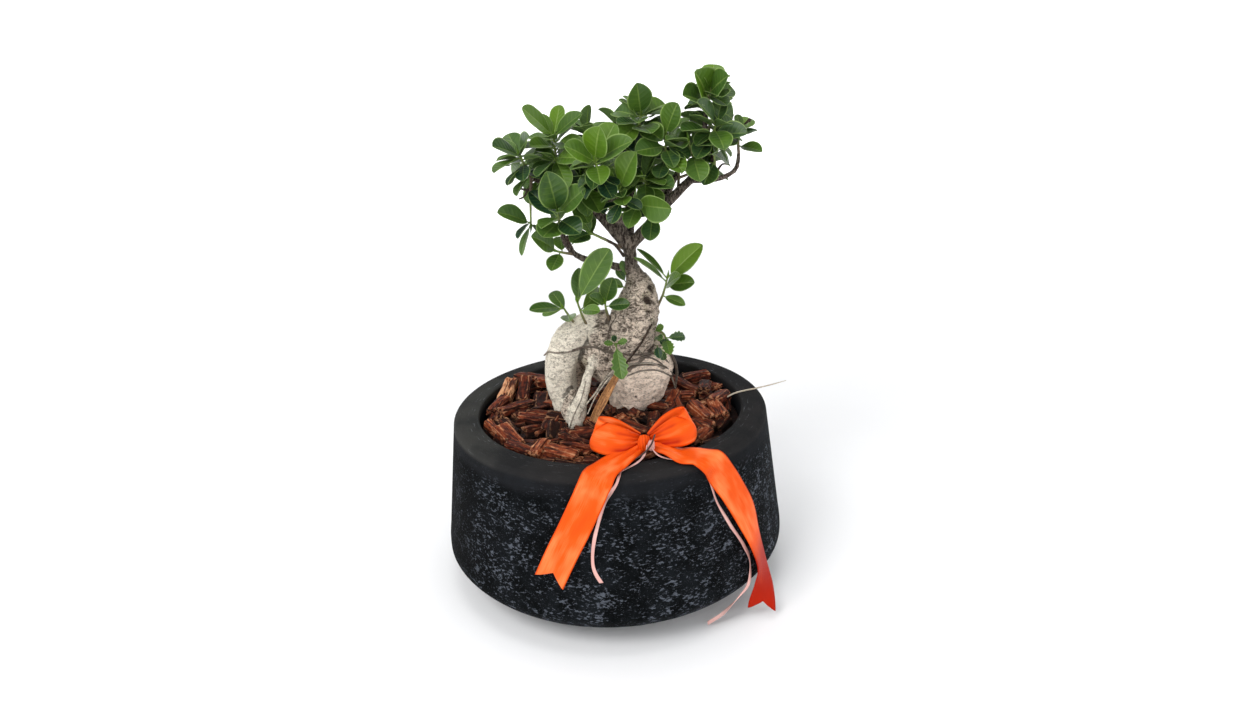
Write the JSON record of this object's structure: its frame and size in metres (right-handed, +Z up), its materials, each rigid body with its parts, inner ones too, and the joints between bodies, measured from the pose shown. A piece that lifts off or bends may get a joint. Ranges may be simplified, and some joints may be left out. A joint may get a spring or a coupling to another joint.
{
  "type": "ficus bonsai",
  "caption": "Small ficus tree with swollen bare roots and leafy branches, planted in a wide round pot under bark mulch, with a ribbon bow over the rim.",
  "frame": {"origin": "centre of the underside of the pot's foot, on the surface it stands on", "axes": "+Z up along the pot's axis, -Y towards the side that carries the ribbon bow, +X to the right as seen from that side"},
  "size_m": [0.3541, 0.346, 0.4951],
  "materials": {
    "pot": "matt charcoal, flecked with blue-grey",
    "soil": "dark crumbly potting mix",
    "mulch": "rough red-brown bark",
    "bark": "pale grey-beige bark with speckles",
    "leaf": "waxy green, paler at the midrib",
    "ribbon": "orange satin",
    "tie": "pink satin",
    "wire": "thin and dark",
    "straw": "dry pale stem",
    "husk": "dry orange-brown strip"
  },
  "bodies": {
    "root": {"pot": "pot", "soil": "soil", "bark_mulch": "mulch", "trunk": "bark", "shoot_crown": "leaf", "shoot_crown_low": "leaf", "shoot_right_tip": "leaf", "shoot_right_low": "leaf", "shoot_centre_top": "leaf", "shoot_centre_right": "leaf", "shoot_bright": "leaf", "shoot_mid_front": "leaf", "shoot_fold_leaf": "leaf", "shoot_left_v": "leaf", "shoot_left_far_tip": "leaf", "shoot_left_mid": "leaf", "shoot_left_front": "leaf", "shoot_left_drop": "leaf", "shoot_low_left_tip": "leaf", "shoot_big_bright": "leaf", "shoot_low_shoot": "leaf", "shoot_mid_shoot": "leaf", "shoot_right_shoot": "leaf", "shoot_right_low_shoot": "leaf", "shoot_front_small": "leaf", "shoot_neck_shoot": "leaf", "shoot_back_left_end": "leaf", "shoot_back_left_mid": "leaf", "shoot_back_left_out": "leaf", "shoot_back_mid_end": "leaf", "shoot_back_mid_left": "leaf", "shoot_back_mid_right": "leaf", "shoot_back_right_end": "leaf", "shoot_back_right_out": "leaf", "shoot_top_back": "leaf", "shoot_top_left": "leaf", "shoot_mid_left_fill": "leaf", "shoot_crown_back": "leaf", "shoot_mid_right_fill": "leaf", "shoot_centre_fill": "leaf", "shoot_low_back": "leaf", "shoot_left_low_fill": "leaf", "shoot_right_mid": "leaf", "shoot_low_centre": "leaf", "shoot_rear_low_left": "leaf", "husk": "husk", "straw": "straw", "ribbon_bow": "ribbon", "tie_ribbon": "tie", "tie_wire": "wire"}
  },
  "joints": []
}
